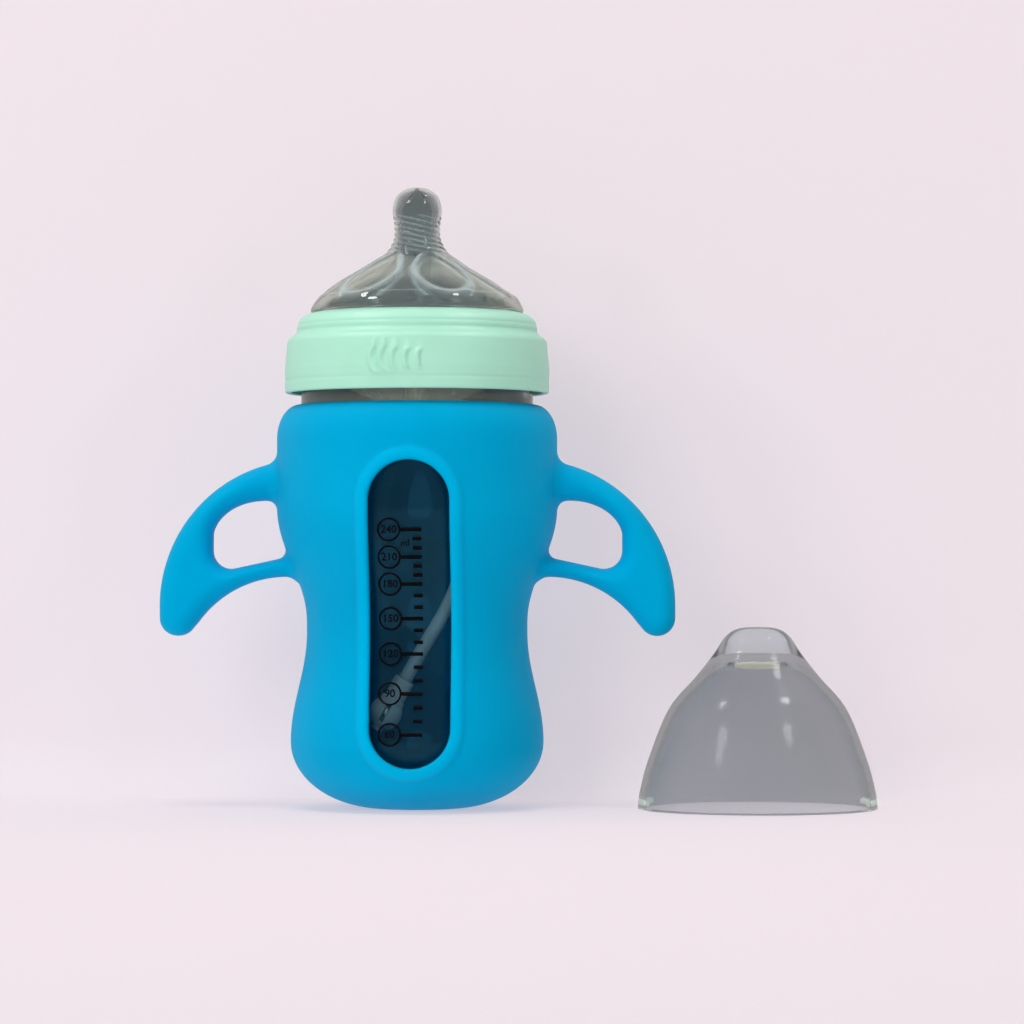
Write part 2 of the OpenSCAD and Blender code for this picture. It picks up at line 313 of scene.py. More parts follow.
class Look:
    """One procedural material, built up a feature at a time."""

    def __init__(self, name, colour, roughness, **sockets):
        self.material = bpy.data.materials.new(name)
        self.material.use_nodes = True
        self.nodes = self.material.node_tree.nodes
        self.links = self.material.node_tree.links
        self.shader = self.nodes["Principled BSDF"]
        self.shader.inputs["Base Color"].default_value = colour
        self.shader.inputs["Roughness"].default_value = roughness
        for socket, value in sockets.items():
            self.shader.inputs[socket.replace("_", " ")].default_value = value
        self.place = self.nodes.new("ShaderNodeTexCoord").outputs["Object"]

    def noise(self, size_mm, detail=3, stretch=(1, 1, 1)):
        """A noise pattern whose blobs are about size_mm across."""
        mapping = self.nodes.new("ShaderNodeMapping")
        mapping.inputs["Scale"].default_value = [1 / (s * size_mm * MM) for s in stretch]
        noise = self.nodes.new("ShaderNodeTexNoise")
        noise.inputs["Scale"].default_value = 1
        noise.inputs["Detail"].default_value = detail
        self.links.new(self.place, mapping.inputs["Vector"])
        self.links.new(mapping.outputs["Vector"], noise.inputs["Vector"])
        return noise.outputs["Fac"]

    def spread(self, source, low, high):
        """A pattern's middle range turned into values from low to high."""
        ramp = self.nodes.new("ShaderNodeMapRange")
        ramp.inputs["From Min"].default_value = NOISE_LOW
        ramp.inputs["From Max"].default_value = NOISE_HIGH
        ramp.inputs["To Min"].default_value = low
        ramp.inputs["To Max"].default_value = high
        self.links.new(source, ramp.inputs["Value"])
        return ramp.outputs["Result"]

    def vary_roughness(self, source, low, high):
        self.links.new(self.spread(source, low, high), self.shader.inputs["Roughness"])
        return self

    def vary_colour(self, source, other):
        return self.tint(self.spread(source, 0, 1), other)

    def tint(self, mask, colour):
        """Mixes a colour in where a mask is 1."""
        mix = self.nodes.new("ShaderNodeMix")
        mix.data_type = "RGBA"
        base = self.shader.inputs["Base Color"]
        if base.is_linked:
            self.links.new(base.links[0].from_socket, mix.inputs["A"])
        else:
            mix.inputs["A"].default_value = base.default_value
        mix.inputs["B"].default_value = colour
        self.links.new(mask, mix.inputs["Factor"])
        self.links.new(mix.outputs["Result"], base)
        return self

    def lower(self, mask, socket, amount):
        """Takes an amount off a socket where a mask is 1."""
        change = self.nodes.new("ShaderNodeMath")
        change.operation = "MULTIPLY_ADD"
        target = self.shader.inputs[socket]
        self.links.new(mask, change.inputs[0])
        change.inputs[1].default_value = -amount
        if target.is_linked:
            self.links.new(target.links[0].from_socket, change.inputs[2])
        else:
            change.inputs[2].default_value = target.default_value
        self.links.new(change.outputs["Value"], target)
        return self

    def facing(self, low, high):
        """A mask that rises from 0, where a surface is seen nearly square on, to 1 at its outline."""
        ramp = self.nodes.new("ShaderNodeMapRange")
        ramp.inputs["From Min"].default_value = low
        ramp.inputs["From Max"].default_value = high
        facing = self.nodes.new("ShaderNodeLayerWeight").outputs["Facing"]
        self.links.new(facing, ramp.inputs["Value"])
        return ramp.outputs["Result"]

    def bump(self, source, height_mm, strength=1.0):
        bump = self.nodes.new("ShaderNodeBump")
        bump.inputs["Distance"].default_value = height_mm * MM
        bump.inputs["Strength"].default_value = strength
        self.links.new(source, bump.inputs["Height"])
        self.links.new(bump.outputs["Normal"], self.shader.inputs["Normal"])
        return self

    def mark(self):
        """The mask that make_piece stored on the mesh."""
        attribute = self.nodes.new("ShaderNodeAttribute")
        attribute.attribute_name = "mark"
        return attribute.outputs["Fac"]

    def pass_lamps(self, tint):
        """Lets lamps shine through clear material, so that what is behind it is lit."""
        path = self.nodes.new("ShaderNodeLightPath")
        open_way = self.nodes.new("ShaderNodeBsdfTransparent")
        open_way.inputs["Color"].default_value = tint
        mix = self.nodes.new("ShaderNodeMixShader")
        output = self.nodes["Material Output"]
        self.links.new(path.outputs["Is Shadow Ray"], mix.inputs["Fac"])
        self.links.new(self.shader.outputs["BSDF"], mix.inputs[1])
        self.links.new(open_way.outputs["BSDF"], mix.inputs[2])
        self.links.new(mix.outputs["Shader"], output.inputs["Surface"])
        return self


def sleeve_silicone():
    blue, deep, bead = (0, 0.44, 0.745, 1), (0, 0.41, 0.71, 1), (0, 0.5, 0.84, 1)
    look = Look("sleeve_silicone", blue, 0.55, Specular_IOR_Level=0.06, Specular_Tint=(0, 0.5, 1, 1))
    look.vary_colour(look.noise(30, 2), deep)
    # Painted highlight: the window's raised rim is painted a lighter blue, most at its crest. It is
    # partly a paler rim and partly a painted highlight along it.
    look.tint(look.mark(), bead)
    look.vary_roughness(look.noise(6), 0.5, 0.6)
    return look.bump(look.noise(0.35, 2), 0.02, 0.35).material


def bottle_glass():
    # The glass is tinted grey-blue, darker than clear glass: a painted shade that dims the view into the
    # sleeve through the window.
    look = Look("bottle_glass", (0.6, 0.8, 0.88, 1), 0.02, Transmission_Weight=1.0, IOR=1.5)
    look.shader.inputs["Specular IOR Level"].default_value = 0.07
    look.shader.inputs["Specular Tint"].default_value = (0.2, 0.7, 1, 1)
    # Painted light: above the sleeve the neck is tinted paler and made a little less clear, so that it
    # looks lit.
    look.tint(look.mark(), (0.9, 0.9, 0.82, 1))
    look.lower(look.mark(), "Transmission Weight", 0.1)
    look.vary_roughness(look.noise(12), 0.01, 0.05)
    look.bump(look.noise(18, 1), 0.15, 0.3)
    return look.pass_lamps((0.8, 0.92, 0.95, 1)).material


def scale_ink():
    look = Look("scale_ink", (0.001, 0.001, 0.002, 1), 0.6, Specular_IOR_Level=0.1)
    return look.vary_roughness(look.noise(0.8), 0.5, 0.7).material


def collar_plastic():
    mint, pale = srgb(178, 240, 213), srgb(184, 245, 219)
    look = Look("collar_plastic", mint, 0.4, IOR=1.46, Subsurface_Weight=0.12)
    look.shader.inputs["Subsurface Radius"].default_value = (0.8, 1.0, 0.9)
    look.shader.inputs["Subsurface Scale"].default_value = 0.6 * MM
    look.vary_colour(look.noise(25, 2), pale)
    look.vary_roughness(look.noise(4), 0.36, 0.44)
    return look.bump(look.noise(0.4, 2), 0.012, 0.4).material


def teat_silicone():
    middle, edge, petal_milk_and_crest_highlight = (0.38, 0.43, 0.42, 1), (0.97, 1, 0.86, 1), (0.6, 0.73, 0.73, 1)
    look = Look("teat_silicone", middle, 0.06, Transmission_Weight=1.0, IOR=1.25, Specular_IOR_Level=1.0)
    # Painted light by the angle of view: the teat is dark grey in the middle and nearly white at its
    # outline, where it also lets less light through. This stands in for the pale light seen through and
    # reflected at its glancing sides.
    outline = look.facing(0.47, 0.64)
    look.tint(outline, edge)
    # The mark paints the petals' outlines milky, and paints the crests of the nipple's ridges in the same
    # pale colour as a painted highlight.
    look.tint(look.mark(), petal_milk_and_crest_highlight)
    look.lower(look.mark(), "Transmission Weight", 0.35)
    look.lower(outline, "Transmission Weight", 0.2)
    look.vary_roughness(look.noise(7), 0.03, 0.08)
    look.bump(look.noise(9, 2), 0.08, 0.3)
    return look.pass_lamps((0.62, 0.64, 0.62, 1)).material


def adapter_plastic():
    look = Look("adapter_plastic", (0.86, 0.89, 0.82, 1), 0.22, Transmission_Weight=0.35, IOR=1.49)
    look.vary_roughness(look.noise(3), 0.15, 0.3)
    return look.pass_lamps((0.6, 0.64, 0.62, 1)).material


def straw_silicone():
    look = Look("straw_silicone", (0.71, 0.79, 0.82, 1), 0.35, Transmission_Weight=0.4, IOR=1.2)
    look.vary_roughness(look.noise(2), 0.3, 0.42)
    look.bump(look.noise(0.5, 2), 0.01, 0.3)
    return look.pass_lamps((0.6, 0.64, 0.66, 1)).material


def weight_plastic():
    look = Look("weight_plastic", (0.80, 0.83, 0.80, 1), 0.4, Transmission_Weight=0.15, IOR=1.49)
    look.shader.inputs["Subsurface Weight"].default_value = 0.3
    look.shader.inputs["Subsurface Radius"].default_value = (1.0, 1.0, 0.9)
    look.shader.inputs["Subsurface Scale"].default_value = 1.0 * MM
    look.vary_roughness(look.noise(1.5), 0.32, 0.48)
    return look.bump(look.noise(0.3, 2), 0.015, 0.4).material


def ball_steel():
    look = Look("ball_steel", (0.62, 0.62, 0.60, 1), 0.2, Metallic=1.0)
    return look.vary_roughness(look.noise(0.8), 0.14, 0.3).material


def cap_plastic():
    look = Look("cap_plastic", (0.61, 0.64, 0.65, 1), 0.05, Transmission_Weight=1.0, IOR=1.2)
    look.shader.inputs["Specular Tint"].default_value = (0.3, 0.3, 0.3, 1)
    # Painted light: the solid tip above the pad is tinted paler, so that the thick tip looks lit through.
    look.tint(look.mark(), (0.68, 0.74, 0.75, 1))
    # Painted shade by the angle of view: the cap is tinted darker and greener towards its outline,
    # standing in for light's longer way through the glancing wall.
    look.tint(look.facing(0.5, 0.95), (0.42, 0.54, 0.5, 1))
    look.vary_roughness(look.noise(1.1, 4, stretch=(0.6, 0.6, 9)), 0.03, 0.13)
    look.bump(look.noise(14, 2), 0.12, 0.25)
    return look.pass_lamps((0.7, 0.7, 0.72, 1)).material


FROSTED_PAINTED_GLOW = 0.2  # painted light: how much the frosted pad and ribs glow in their own colour, though they are no lamp, in place of light they would gather from all round


def cap_frosted(name, colour):
    look = Look(name, colour, 0.5, Transmission_Weight=0.1, IOR=1.3)
    # Painted light: the emission makes the pad or rib glow, though it is no lamp.
    look.shader.inputs["Emission Color"].default_value = colour
    look.shader.inputs["Emission Strength"].default_value = FROSTED_PAINTED_GLOW
    look.vary_roughness(look.noise(1), 0.42, 0.6)
    look.bump(look.noise(0.5, 2), 0.02, 0.4)
    return look.pass_lamps((0.5, 0.5, 0.5, 1)).material


MATERIALS = {
    "sleeve": sleeve_silicone(),
    "glass": bottle_glass(),
    "ink": scale_ink(),
    "collar": collar_plastic(),
    "teat": teat_silicone(),
    "adapter": adapter_plastic(),
    "straw": straw_silicone(),
    "weight": weight_plastic(),
    "ball": ball_steel(),
    "cap": cap_plastic(),
    "pad": cap_frosted("cap_pad_frosted", srgb(238, 236, 218)),
    "rib": cap_frosted("cap_rib_frosted", srgb(236, 244, 232)),
}


# ---------- 6. Straw and weight: the cord comes first ----------

STRAW_D = 4
STRAW_BORE_D = 2.6
ROUTE = [
    (0, 0, 125.5), (0.2, 0, 121.5), (1.4, 0, 116), (3.6, 0, 110), (6.4, 0, 103.5), (9.2, 0, 97),
    (11.7, 0, 90), (13.4, 0, 83), (13.9, 0, 76), (13, 0, 69.5), (11.2, 0, 63.5), (8.6, 0, 57.5),
    (5.6, 0, 52), (2.5, 0, 46.9), (-0.5, 0, 41.7), (-3.5, 0, 36.5),
]
WEIGHT_TILT = 30  # degrees from straight down
WEIGHT_R = 4.8
WEIGHT_CENTRE = 11  # below the straw's end
BALL_R, BALL_PLAY = 3, 0.25
HOLDER_R, HOLDER_HALF = 3.1, 3.1  # the tube that grips the end of the straw
FLARE_R, FLARE_Z, FLARE_HALF = 3.5, -7.2, 0.9  # the disc between the holder and the ball's housing
NUB_R, NUB_HALF = 1.8, 0.8
MILK_BORE_R, SOCKET_Z = 1.1, -6  # the straw's socket ends at SOCKET_Z, and a narrower bore goes on
SLIT_HALF_W, SLIT_HALF_H = 0.7, 2.6
WEIGHT_MARGIN, WEIGHT_GRID = 1.2, 0.33


def tube(path, radius, bore, sides=20):
    """Points and faces of a hollow tube along a path in the XZ plane."""
    path = np.array(path)
    along = np.gradient(path, axis=0)
    along /= np.linalg.norm(along, axis=1)[:, None]
    across = np.stack([along[:, 2], 0 * along[:, 0], -along[:, 0]], 1)
    angle = np.linspace(0, 2 * np.pi, sides, endpoint=False)
    ring = np.cos(angle)[None, :, None] * across[:, None] + np.sin(angle)[None, :, None] * (0, 1, 0)
    outer, inner = path[:, None] + radius * ring, path[:, None] + bore * ring
    loop = np.concatenate([outer, inner[::-1]])
    rows = len(loop)
    index = np.arange(rows * sides).reshape(rows, sides)
    above = np.roll(index, -1, 0)
    quads = np.stack([index, np.roll(index, -1, 1), np.roll(above, -1, 1), above], 2)
    return loop.reshape(-1, 3), quads.reshape(-1, 4).tolist()


def below_straw(points):
    """Puts points, made below the origin, in line with the straw's end."""
    t = math.radians(WEIGHT_TILT)
    turn = np.array([[math.cos(t), 0, math.sin(t)], [0, 1, 0], [-math.sin(t), 0, math.cos(t)]])
    return points @ turn.T + np.array(ROUTE[-1])


def weight_distance(x, y, z):
    """The holder, its flare and the round end, hollow for the ball and slit to let milk in."""
    r = np.hypot(x, y)
    from_ball = np.sqrt(r**2 + (z + WEIGHT_CENTRE) ** 2)
    holder = thick_plate(r - HOLDER_R, z + HOLDER_HALF, HOLDER_HALF, edge=0.5)
    flare = thick_plate(r - FLARE_R, z - FLARE_Z, FLARE_HALF, edge=0.5)
    nub = thick_plate(r - NUB_R, z + WEIGHT_CENTRE + WEIGHT_R - 0.1, NUB_HALF, edge=0.4)
    top = join(holder, flare, fillet=0.4)
    bottom = join(from_ball - WEIGHT_R, nub, fillet=0.4)
    solid = join(top, bottom, fillet=0.5)
    bore = r - np.where(z > SOCKET_Z, STRAW_D / 2 + 0.05, MILK_BORE_R)
    slits = np.minimum(np.abs(x) - SLIT_HALF_W, np.abs(y) - SLIT_HALF_W)
    slits = np.maximum(slits, np.abs(z + WEIGHT_CENTRE) - SLIT_HALF_H)
    solid = cut(solid, from_ball - BALL_R - BALL_PLAY, edge=0.15)
    solid = cut(solid, bore, edge=0.2)
    return cut(solid, slits, edge=0.25)


def make_straw():
    route = smooth(ROUTE, 5)
    points, faces = tube(route, STRAW_D / 2, STRAW_BORE_D / 2)
    straw = make_piece(
        "drinking_straw", points, faces, MATERIALS["straw"], None,
        replaces=["straw"],
    )
    reach = WEIGHT_R + WEIGHT_MARGIN
    lowest, highest = (-reach, -reach, -WEIGHT_CENTRE - reach), (reach, reach, 1)
    points, faces = skin(weight_distance, lowest, highest, WEIGHT_GRID)
    weight = make_piece(
        "weight_housing", below_straw(points), faces, MATERIALS["weight"], "straw",
        replaces=["straw_weight"],
    )
    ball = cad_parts["weight_ball"]
    ball.data.materials.clear()
    ball.data.materials.append(MATERIALS["ball"])
    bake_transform(straw)


make_straw()


# ---------- 7. Sleeve ----------

sleeve_lo, sleeve_hi = node_box("sleeve")
SLEEVE_H = sleeve_hi[2]
SHOULDER_R = sleeve_hi[1]
HANDLE_REACH = sleeve_hi[0]
RIM_RISE = -sleeve_lo[1] - SHOULDER_R
SLEEVE_WALL = 2.6
FOOT_R = 10
BASE_R, BASE_Z = 36, 19
WAIST_R, WAIST_Z = 31.4, 50
SWELL_Z, SHOULDER_Z, CROWN_Z = 53, 85.5, 105
NECK_R = 33
THROAT_R, FACE_R = NECK_R + 0.1, NECK_R + 0.6  # the sleeve's hole, and where its top face rounds off
WINDOW_W, WINDOW_LO, WINDOW_HI = 22.6, 12.6, 98.2
RIM_W = 3.7
RIM_FILLET, LINING_EDGE, WINDOW_EDGE = 0.25, 0.3, 0.5
HANDLE_T, HANDLE_EDGE = 13, 5
HANDLE_FILLET = 3
HANDLE_X, HANDLE_Z, HANDLE_TOP = 32, 57.5, 99.2  # its outer curve's centre, and its highest point
TAIL_Z, TAIL_R = 54.2, 5.2
UNDER_CENTRE, UNDER_R = (37.3, 34.5), 31.3
GAP_ARCH, GAP_ARCH_W, GAP_ARCH_H = (43.5, 76.3), 15.1, 11.2
GAP_CORNER, GAP_CORNER_R = (53.2, 73.3), 5.2
GAP_INNER_X, GAP_TOP, GAP_FOOT = 30, 87.5, 73
BODY_MAP = (-1, -4), (90, 120)  # corners, as (radius, height)
HANDLE_MAP = (20, 30), (80, 110)
SLEEVE_GRID, SLEEVE_QUICK_GRID, SLEEVE_MARGIN = 0.85, 1.6, 1.6


def body_outline(depth, throat_r):
    """The hourglass outline at a depth below the sleeve's face, from the foot to the throat."""
    return np.vstack([
        arc((FOOT_R, BASE_Z), BASE_R - FOOT_R - depth, BASE_Z - depth, -90, 0, 40),
        ease(BASE_R - depth, WAIST_R - depth, BASE_Z, WAIST_Z),
        ease(WAIST_R - depth, SHOULDER_R - depth, SWELL_Z, SHOULDER_Z),
        arc((throat_r, CROWN_Z), SHOULDER_R - depth - throat_r, SLEEVE_H - CROWN_Z - depth, 0, 90),
    ])


def handle_outline():
    """Side view of one handle: a big outer curve, a round tail tip and a hollow underside."""
    return np.vstack([
        arc((HANDLE_X, HANDLE_Z), HANDLE_REACH - HANDLE_X, HANDLE_TOP - HANDLE_Z, 95, 0, 60),
        arc((HANDLE_REACH - TAIL_R, TAIL_Z), TAIL_R, TAIL_R, -5, -146),
        arc(UNDER_CENTRE, UNDER_R, UNDER_R, 36, 95, 40),
    ])


def finger_gap():
    """The opening between the handle and the body."""
    return np.vstack([
        [(GAP_INNER_X, GAP_TOP)],
        arc(GAP_ARCH, GAP_ARCH_W, GAP_ARCH_H, 90, 10),
        arc(GAP_CORNER, GAP_CORNER_R, GAP_CORNER_R, 0, -100),
        [(GAP_INNER_X, GAP_FOOT)],
    ])


def window(x, z):
    """Distance to the upright slot with round ends that shows the scale."""
    half = WINDOW_W / 2
    nearest = np.clip(z, WINDOW_LO + half, WINDOW_HI - half)
    return np.hypot(x, z - nearest) - half


def make_sleeve():
    face = [(0, 0)], body_outline(0, FACE_R), [(0, SLEEVE_H)]
    above = SLEEVE_H + 4
    lining = [(0, SLEEVE_WALL)], body_outline(SLEEVE_WALL, THROAT_R), [(THROAT_R, above), (0, above)]
    outside = Map(np.vstack(face), *BODY_MAP)
    inside = Map(np.vstack(lining), *BODY_MAP)
    grip = Map(handle_outline(), *HANDLE_MAP)
    gap = Map(finger_gap(), *HANDLE_MAP)

    def distance(x, y, z):
        r = np.hypot(x, y)
        body = outside.at(r, z)
        side = np.maximum(grip.at(np.abs(x), z), -gap.at(np.abs(x), z))
        handle = thick_plate(side, y, HANDLE_T / 2, HANDLE_EDGE)
        slot = window(x, z)
        rim = (np.hypot(2 * slot / RIM_W - 1, body / RIM_RISE) - 1) * RIM_RISE
        rim = np.maximum(rim, y)
        solid = join(join(body, handle, HANDLE_FILLET), rim, RIM_FILLET)
        solid = cut(solid, inside.at(r, z), LINING_EDGE)
        return cut(solid, np.maximum(slot, y), WINDOW_EDGE)

    step = SLEEVE_GRID
    points, faces = skin(distance, sleeve_lo - SLEEVE_MARGIN, sleeve_hi + SLEEVE_MARGIN, step)
    x, y, z = points.T
    # The mark rises to 1 along the crest of the window's raised rim, where the sleeve is painted a
    # lighter blue as a painted highlight.
    across_rim = 2 * window(x, z) / RIM_W - 1
    raised = (y < 0) & (outside.at(np.hypot(x, y), z) > 0.05)
    marks = np.sqrt(np.clip(1 - across_rim**2, 0, 1)) * raised
    make_piece(
        "silicone_sleeve", points, faces, MATERIALS["sleeve"], "bottle",
        replaces=["sleeve"], marks=marks,
    )


make_sleeve()


# ---------- 8. Bottle and its printed scale ----------

bottle_lo, bottle_hi = node_box("bottle")
LIP_Z = bottle_hi[2]
BOTTLE_DEPTH = bottle_lo[2]
GLASS = 2.2
NECK_BORE_R = 30.2
LIP_R, LIP_BORE_R = 31.7, 29.2
THREAD_Z, PITCH, RIDGE_H, RIDGE_HALF = 122, 6, 1.8, 1.6
RIDGE_FLANK = 1.9  # how steep a ridge's sides are: above 1 its crest is flat
RIDGE_ENDS = 12  # a ridge rises to its full height in 1/12 of a turn
BOTTLE_TURNS, COLLAR_TURNS = 1.25, 1.2
NECK_FOOT_Z = CROWN_Z + 10


def thread(angle, z, start_z, start_angle, turns):
    """How far a screw ridge stands out at each point: 0 off the ridge and 1 on its crest."""
    turn = (angle - math.radians(start_angle)) / (2 * np.pi) % 1
    height = np.zeros_like(z)
    for lap in range(math.ceil(turns)):
        done = turn + lap
        off = np.abs(z - start_z - PITCH * done) / RIDGE_HALF
        ends = np.clip(np.minimum(done, turns - done) * RIDGE_ENDS, 0, 1)
        height = np.maximum(height, np.clip(RIDGE_FLANK * (1 - off), 0, 1) * ends)
    return height


def make_bottle():
    neck = dense([(NECK_R, NECK_FOOT_Z), (NECK_R, LIP_Z - 3.3)], 0.5)
    outside = np.vstack([
        [(0, BOTTLE_DEPTH)], body_outline(BOTTLE_DEPTH, NECK_R), neck,
        [(LIP_R, LIP_Z - 2)],
        arc((LIP_R - 1, LIP_Z - 1), 1, 1, 0, 90, 6),
        arc((LIP_BORE_R + 1, LIP_Z - 1), 1, 1, 90, 180, 6),
        [(LIP_BORE_R, LIP_Z - 2.4), (NECK_BORE_R, LIP_Z - 4)],
    ])
    inside = body_outline(BOTTLE_DEPTH + GLASS, NECK_BORE_R)[::-1]
    outline = np.vstack([outside, inside, [(0, BOTTLE_DEPTH + GLASS)]])

    def ridge(r, z, angle):
        on_neck = (r > NECK_R - 0.01) & (z > NECK_FOOT_Z + 1)
        return r + on_neck * RIDGE_H * thread(angle, z, THREAD_Z, 0, BOTTLE_TURNS), z

    points, faces = revolve(outline, 256, ridge)
    points, faces = drop_unused(points, faces)
    # This mask marks where the glass takes the paler painted tint that makes the neck look lit.
    lit_neck_mask = np.clip((points[:, 2] - CROWN_Z - 1) / 2, 0, 1)
    make_piece(
        "feeding_bottle", points, faces, MATERIALS["glass"], "bottle",
        replaces=["bottle"], marks=lit_neck_mask,
    )


make_bottle()

INK_T, INK_GAP = 0.05, 0.02
NUMBERS = {240: 78.9, 210: 71.3, 180: 63.8, 150: 54.2, 120: 44.4, 90: 33.4, 60: 22.1}
CIRCLE_X, CIRCLE_R, LINE_W = -5.6, 3.3, 0.55
TICK_W, MAJOR_TICK, MINOR_TICK = 1, (-2.3, 3.5), (1, 3.5)
NUMBER_SIZE, NUMBER_SPREAD = 3.0, 0.05  # spread makes the strokes bolder
UNIT, UNIT_X, UNIT_SIZE = "ml", -1.1, 2.6


def on_glass(x, z, out):
    """Bends flat ink round the front of the bottle."""
    outline = body_outline(BOTTLE_DEPTH, NECK_R)
    r = np.interp(z, outline[:, 1], outline[:, 0]) + INK_GAP + out
    return np.stack([x, -np.sqrt(r**2 - x**2), z], 1)


def ink_ribbon(inner, outer, close):
    """A thin printed shape between two lines of (x, z) points, with a front, a back and edges."""
    rings = []
    for line, out in ((inner, 0), (outer, 0), (outer, INK_T), (inner, INK_T)):
        line = np.array(line, float)
        rings.append(on_glass(line[:, 0], line[:, 1], out))
    points = np.concatenate(rings)
    count = len(inner)
    faces = []
    for i in range(count if close else count - 1):
        j = (i + 1) % count
        for k in range(4):
            low, high = k * count, (k + 1) % 4 * count
            faces.append([low + i, low + j, high + j, high + i])
    if not close:
        faces.append([k * count for k in range(4)])
        faces.append([k * count + count - 1 for k in (3, 2, 1, 0)])
    return points, faces


def tick(z, ends):
    x = np.linspace(*ends, 5)
    low = np.stack([x, np.full(5, z - TICK_W / 2)], 1)
    return ink_ribbon(low, low + (0, TICK_W), close=False)


def circle(z):
    return ink_ribbon(
        arc((CIRCLE_X, z), CIRCLE_R - LINE_W, CIRCLE_R - LINE_W, 0, 360, 48)[:-1],
        arc((CIRCLE_X, z), CIRCLE_R, CIRCLE_R, 0, 360, 48)[:-1],
        close=True,
    )


def number(text, x, z, size):
    """Printed figures, centred on a point."""
    curve = bpy.data.curves.new("figures", "FONT")
    curve.body = text
    curve.size = size
    curve.align_x, curve.align_y = "CENTER", "CENTER"
    curve.extrude = INK_T / 2
    curve.offset = NUMBER_SPREAD
    curve.resolution_u = 3
    holder = bpy.data.objects.new("figures", curve)
    mesh = bpy.data.meshes.new_from_object(holder)
    co = np.array([v.co for v in mesh.vertices])
    faces = [list(p.vertices) for p in mesh.polygons]
    bpy.data.meshes.remove(mesh)
    bpy.data.objects.remove(holder)
    bpy.data.curves.remove(curve)
    return on_glass(co[:, 0] + x, co[:, 1] + z, co[:, 2] + INK_T / 2), faces


def make_scale():
    parts = []
    heights = list(NUMBERS.values())
    for label, z in NUMBERS.items():
        parts += [circle(z), tick(z, MAJOR_TICK), number(str(label), CIRCLE_X, z, NUMBER_SIZE)]
    for above, below in zip(heights, heights[1:]):
        for share in (1 / 3, 2 / 3):
            parts.append(tick(above + (below - above) * share, MINOR_TICK))
    parts.append(number(UNIT, UNIT_X, (heights[0] + heights[1]) / 2, UNIT_SIZE))
    points, faces, start = [], [], 0
    for part_points, part_faces in parts:
        points.append(part_points)
        faces += [[i + start for i in f] for f in part_faces]
        start += len(part_points)
    make_piece("printed_scale", np.concatenate(points), faces, MATERIALS["ink"], "bottle")


make_scale()


# ---------- 9. Collar ----------

collar_lo, collar_hi = node_box("collar")
COLLAR_Z, COLLAR_TOP = collar_lo[2], collar_hi[2]
COLLAR_R = collar_hi[0]
COLLAR_BORE_R, COLLAR_MOUTH_R = 35.6, 29.4
CEILING_Z, CEILING_R, LEDGE_Z = 137.6, 32.2, 133.2  # the hollow over the lip, and where it begins
BAND_LEAN_Z, BAND_TOP_Z = 124.5, 129.5  # between these heights the band leans in a little
BORE_TOP_Z = 131.2
SHOULDER, SHOULDER_W, SHOULDER_H = (34.8, 131.8), 2.2, 2.3
STEP, STEP_W, STEP_H = (29.6, 136.4), 4.6, 4.2  # the upper step that the cap grips
MARK_X = (-10.9, -8, -4.7, -1.1, 2.4)  # left ends of the five grip crescents, along the band
MARK_Z, MARK_R, MARK_W, MARK_RISE = 126.3, 6, 1.2, 0.9
MARK_TALL, MARK_SHRINK, MARK_TAPER = 4.8, 0.4, 1.2  # half its height, what the next one loses, its ends
MARK_GROUPS = 3
CREASE_Z, CREASE_W, CREASE_DEPTH = (121.4, 137.2), 0.4, 0.16


def crescents(along, z):
    """How far the grip crescents stand out, from 0 to 1."""
    height = np.zeros_like(z)
    for i, left in enumerate(MARK_X):
        tall = MARK_TALL - MARK_SHRINK * i
        off = np.abs(np.hypot(along - left - MARK_R, z - MARK_Z) - MARK_R)
        off = np.where(along < left + MARK_R, off, 9)
        end = np.clip((tall - np.abs(z - MARK_Z)) / MARK_TAPER, 0, 1)
        bead = np.clip(1 - off / MARK_W, 0, 1)
        height = np.maximum(height, bead**2 * (3 - 2 * bead) * end)
    return height


